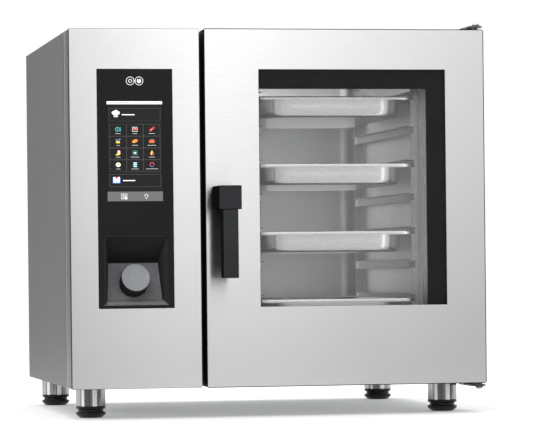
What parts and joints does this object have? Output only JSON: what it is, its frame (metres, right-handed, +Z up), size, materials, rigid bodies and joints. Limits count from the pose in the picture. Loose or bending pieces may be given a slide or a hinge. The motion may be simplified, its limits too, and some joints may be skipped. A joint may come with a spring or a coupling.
{
  "type": "combi steamer oven",
  "caption": "Counter-top combi steamer oven: glazed side-hinged door with turning handle, rack of shallow pans inside, control column with touch panel and knob.",
  "frame": {"origin": "bottom centre of the object's box: on the standing surface, midway between its sides, and midway between the handle's front and the rear connections", "axes": "+Z up, +Y from the door towards the back, +X to the right when facing the door"},
  "size_m": [0.857, 0.885, 0.82],
  "materials": {
    "steel_front": "fine horizontal brushing, satin",
    "steel_side": "fine brushing, satin",
    "steel_bright": "bright, lightly brushed",
    "steel_polished": "polished",
    "steel_chamber": "smooth satin",
    "steel_flue": "satin",
    "zinc_sheet": "galvanised sheet",
    "bezel_black": "black, semi-gloss",
    "handle_black": "black, satin moulding",
    "screen": "glossy touch screen",
    "knob_grey": "fine grey texture",
    "glass": "clear, polished",
    "seal_rubber": "soft silicone",
    "foot_rubber": "moulded, matt",
    "mineral_wool": "fibrous",
    "board_green": "printed circuit board",
    "motor_cast": "painted casting",
    "heater_sheath": "heat-darkened sheath",
    "fittings_black": "moulded",
    "fittings_white": "moulded",
    "lamp_white": "diffusing cover"
  },
  "bodies": {
    "cabinet": {"base_chassis": "zinc_sheet", "left_side_panel": "steel_side", "right_side_panel": "steel_side", "top_panel": "steel_front", "rear_panel": "zinc_sheet", "front_frame": "steel_front", "control_fascia": "steel_front", "control_bezel": "bezel_black", "touch_display": "screen", "control_board": "board_green", "knob_encoder": "fittings_black", "cooking_chamber": "steel_chamber", "insulation_jacket": "mineral_wool", "door_gasket": "seal_rubber", "drip_gutter": "steel_front", "left_rack": "steel_bright", "right_rack": "steel_bright", "gn_pan_1": "steel_bright", "gn_pan_2": "steel_bright", "gn_pan_3": "steel_bright", "gn_pan_4": "steel_bright", "fan_baffle": "steel_chamber", "fan_motor": "motor_cast", "heating_element": "heater_sheath", "steam_injector": "steel_bright", "drain_pipe": "steel_flue", "flue_pipe": "steel_flue", "damper_pipe": "steel_flue", "water_valve": "fittings_white", "mains_gland": "fittings_black", "terminal_block": "fittings_white", "cooler_frame": "fittings_black", "latch_strike": "steel_bright", "hinge_top_bracket": "steel_polished", "hinge_top_pin": "steel_polished", "hinge_bottom_bracket": "steel_polished", "hinge_bottom_pin": "steel_polished", "leg_front_left": "steel_polished", "leg_front_right": "steel_polished", "leg_rear_left": "steel_polished", "leg_rear_right": "steel_polished"},
    "door": {"door_skin": "steel_front", "outer_glass": "glass", "window_border": "bezel_black", "window_spacer": "steel_front", "lamp_strip": "lamp_white", "door_liner": "steel_front", "inner_glass": "glass"},
    "handle": {"handle_hub": "handle_black", "handle_grip": "handle_black", "latch_cam": "steel_bright"},
    "knob_stem": {"knob_spindle": "steel_bright"},
    "knob": {"control_knob": "knob_grey"},
    "fan": {"fan_wheel": "steel_bright"},
    "cooler": {"cooler_rotor": "fittings_black"},
    "damper": {"damper_disc": "steel_bright"},
    "pad_front_left": {"foot_front_left": "foot_rubber"},
    "pad_front_right": {"foot_front_right": "foot_rubber"},
    "pad_rear_left": {"foot_rear_left": "foot_rubber"},
    "pad_rear_right": {"foot_rear_right": "foot_rubber"}
  },
  "joints": [
    {"name": "door_swing", "type": "hinge", "parent": "cabinet", "child": "door", "pos_m": [0.4165, -0.3305, 0.422], "axis": [0, 0, 1], "range_deg": [0, 180]},
    {"name": "handle_turn", "type": "hinge", "parent": "door", "child": "handle", "pos_m": [-0.1187, -0.3625, 0.44175], "axis": [0, -1, 0], "range_deg": [0, 90]},
    {"name": "knob_push", "type": "slide", "parent": "cabinet", "child": "knob_stem", "axis": [0, 0.9511, -0.3088], "range_m": [0, 0.0015], "stiffness_N_per_m": 1500, "springref_m": -0.001},
    {"name": "knob_turn", "type": "hinge", "parent": "knob_stem", "child": "knob", "pos_m": [-0.2995, -0.32511, 0.27], "axis": [0, -0.9511, 0.3088], "continuous": true},
    {"name": "fan_spin", "type": "hinge", "parent": "cabinet", "child": "fan", "pos_m": [-0.1285, 0.0495, 0.435], "axis": [1, 0, 0], "continuous": true},
    {"name": "cooler_spin", "type": "hinge", "parent": "cabinet", "child": "cooler", "pos_m": [-0.3285, 0.4075, 0.172], "axis": [0, 1, 0], "continuous": true},
    {"name": "damper_turn", "type": "hinge", "parent": "cabinet", "child": "damper", "pos_m": [0.0515, 0.3375, 0.774], "axis": [1, 0, 0], "range_deg": [0, 90]},
    {"name": "pad_turn_front_left", "type": "hinge", "parent": "cabinet", "child": "pad_front_left", "pos_m": [-0.3775, -0.2475, 0.012], "axis": [0, 0, 1], "continuous": true},
    {"name": "pad_turn_front_right", "type": "hinge", "parent": "cabinet", "child": "pad_front_right", "pos_m": [0.3585, -0.2475, 0.012], "axis": [0, 0, 1], "continuous": true},
    {"name": "pad_turn_rear_left", "type": "hinge", "parent": "cabinet", "child": "pad_rear_left", "pos_m": [-0.3775, 0.3525, 0.012], "axis": [0, 0, 1], "continuous": true},
    {"name": "pad_turn_rear_right", "type": "hinge", "parent": "cabinet", "child": "pad_rear_right", "pos_m": [0.3585, 0.3525, 0.012], "axis": [0, 0, 1], "continuous": true}
  ]
}
